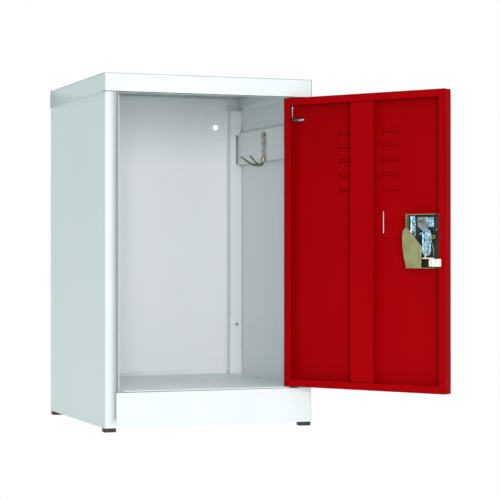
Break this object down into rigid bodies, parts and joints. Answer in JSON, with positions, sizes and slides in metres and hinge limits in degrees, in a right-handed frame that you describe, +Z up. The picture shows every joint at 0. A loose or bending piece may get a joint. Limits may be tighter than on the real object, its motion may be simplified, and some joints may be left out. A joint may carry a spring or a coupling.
{
  "type": "locker cabinet",
  "caption": "Single-door sheet-steel locker on short feet, with a louvred pin-hinged door, finger-lift latch, nylon bolt and coat hook.",
  "frame": {"origin": "centre of the front left foot's underside, on the floor", "axes": "+Z up, +Y from the door side to the back panel, +X from the strike side to the hinge side; at rest the door stands open as an ordinary open locker door"},
  "size_m": [0.5277, 0.6534, 0.616],
  "materials": {
    "white_paint": "satin powder coat",
    "red_paint": "satin powder coat",
    "yellow_zinc": "yellow passivated zinc",
    "blue_zinc": "bright blue zinc",
    "grey_zinc": "dull zinc",
    "nickel": "nickel plate",
    "brass": "bright",
    "nylon": "moulded nylon",
    "black_plastic": "moulded plastic"
  },
  "bodies": {
    "cabinet": {"left_side": "white_paint", "right_side": "white_paint", "back_panel": "white_paint", "top_cap": "white_paint", "floor_panel": "white_paint", "kick_plate": "white_paint", "hook_rail": "white_paint", "rear_post_bracket_left": "white_paint", "rear_post_bracket_right": "white_paint", "post_rivet_left": "grey_zinc", "post_rivet_right": "grey_zinc", "foot_front_left": "black_plastic", "foot_front_right": "black_plastic", "foot_rear_left": "black_plastic", "foot_rear_right": "black_plastic", "coat_hook": "nickel", "hook_screw_upper": "blue_zinc", "hook_screw_lower": "blue_zinc", "lower_hinge_washer": "black_plastic", "upper_hinge_bush": "black_plastic"},
    "door": {"door_pan": "red_paint", "door_stiffener": "red_paint", "hinge_pin_bracket": "red_paint", "hinge_pin_spring": "grey_zinc", "lower_hinge_pin": "blue_zinc", "handle_cup": "black_plastic", "latch_case": "yellow_zinc", "side_bracket": "blue_zinc", "bracket_screw": "blue_zinc", "mechanism_plate": "grey_zinc", "lock_plate": "blue_zinc", "case_rivet": "brass", "lever_rivet": "blue_zinc", "return_spring": "yellow_zinc"},
    "hinge_pin": {"upper_hinge_pin": "blue_zinc"},
    "finger_lift": {"lift_trigger": "black_plastic"},
    "lever": {"latch_lever": "blue_zinc"},
    "bolt": {"latch_bolt": "nylon"}
  },
  "joints": [
    {"name": "door_hinge", "type": "hinge", "parent": "cabinet", "child": "door", "pos_m": [0.33595, -0.00625, 0.3], "axis": [0, 0, 1], "range_deg": [-123.4, 3]},
    {"name": "hinge_pin_slide", "type": "slide", "parent": "door", "child": "hinge_pin", "axis": [0, 0, -1], "range_m": [0, 0.009], "stiffness_N_per_m": 500, "springref_m": -0.004, "deforming": ["hinge_pin_spring"]},
    {"name": "finger_lift_slide", "type": "slide", "parent": "door", "child": "finger_lift", "axis": [0, 0, 1], "range_m": [0, 0.003], "stiffness_N_per_m": 600, "springref_m": -0.004},
    {"name": "lever_pivot", "type": "hinge", "parent": "door", "child": "lever", "pos_m": [0.48169, -0.24998, 0.3374], "axis": [0.8348, 0.5505, 0], "range_deg": [0, 11.5]},
    {"name": "bolt_slide", "type": "slide", "parent": "door", "child": "bolt", "axis": [-0.5505, 0.8348, 0], "range_m": [0, 0.006]}
  ],
  "couplings": [
    {"joint": "lever_pivot", "follows": "finger_lift_slide", "rad_per_m": 66.9},
    {"joint": "bolt_slide", "follows": "finger_lift_slide", "ratio": 2}
  ]
}
